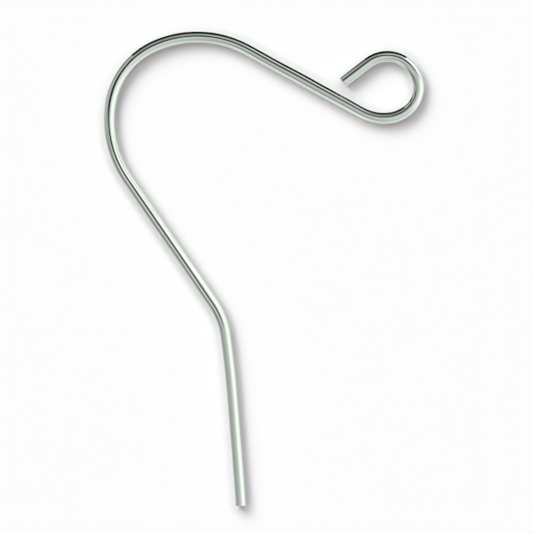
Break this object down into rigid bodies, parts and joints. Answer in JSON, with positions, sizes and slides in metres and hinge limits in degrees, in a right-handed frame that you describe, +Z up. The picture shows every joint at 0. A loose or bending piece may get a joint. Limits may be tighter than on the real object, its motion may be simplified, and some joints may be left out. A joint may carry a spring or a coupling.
{
  "type": "ear wire",
  "caption": "Open hook of bent round wire that hangs a drop earring in a pierced ear, with a kinked tail and an open eye for the drop.",
  "frame": {"origin": "on the surface that the wire lies on, below the middle of its overall length and width", "axes": "+X towards the eye, +Y along the overall length from the tail's tip to the crown, +Z up, square to the plane that the wire is bent in"},
  "size_m": [0.0218, 0.0322, 0.0007],
  "materials": {
    "wire": "bright silver plating, with faint lengthwise draw lines and light handling marks"
  },
  "bodies": {
    "root": {"ear_wire": "wire"}
  },
  "joints": []
}
